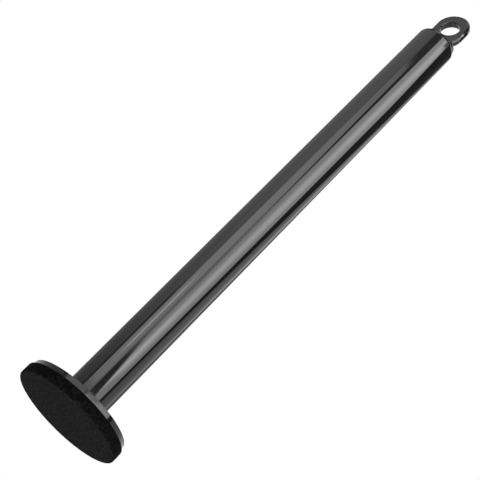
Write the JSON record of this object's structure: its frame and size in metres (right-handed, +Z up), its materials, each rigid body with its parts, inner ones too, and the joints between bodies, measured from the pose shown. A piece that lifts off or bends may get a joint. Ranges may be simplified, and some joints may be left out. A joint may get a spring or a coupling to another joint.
{
  "type": "weight loading pin",
  "caption": "Round steel bar on a padded round base plate, with a flat welded lifting eye on top, for holding weight plates on a cable or strap.",
  "frame": {"origin": "middle of the pad's under face, on the bar's axis", "axes": "+Z up along the bar, +X across the flat of the eye, +Y along the eye's hole"},
  "size_m": [0.0644, 0.0644, 0.3552],
  "materials": {
    "gloss_black_paint": "gloss",
    "pad_rubber": "matt"
  },
  "bodies": {
    "root": {"foot_pad": "pad_rubber", "base_plate": "gloss_black_paint", "post": "gloss_black_paint", "eye_lug": "gloss_black_paint", "base_weld": "gloss_black_paint", "lug_weld": "gloss_black_paint"}
  },
  "joints": []
}
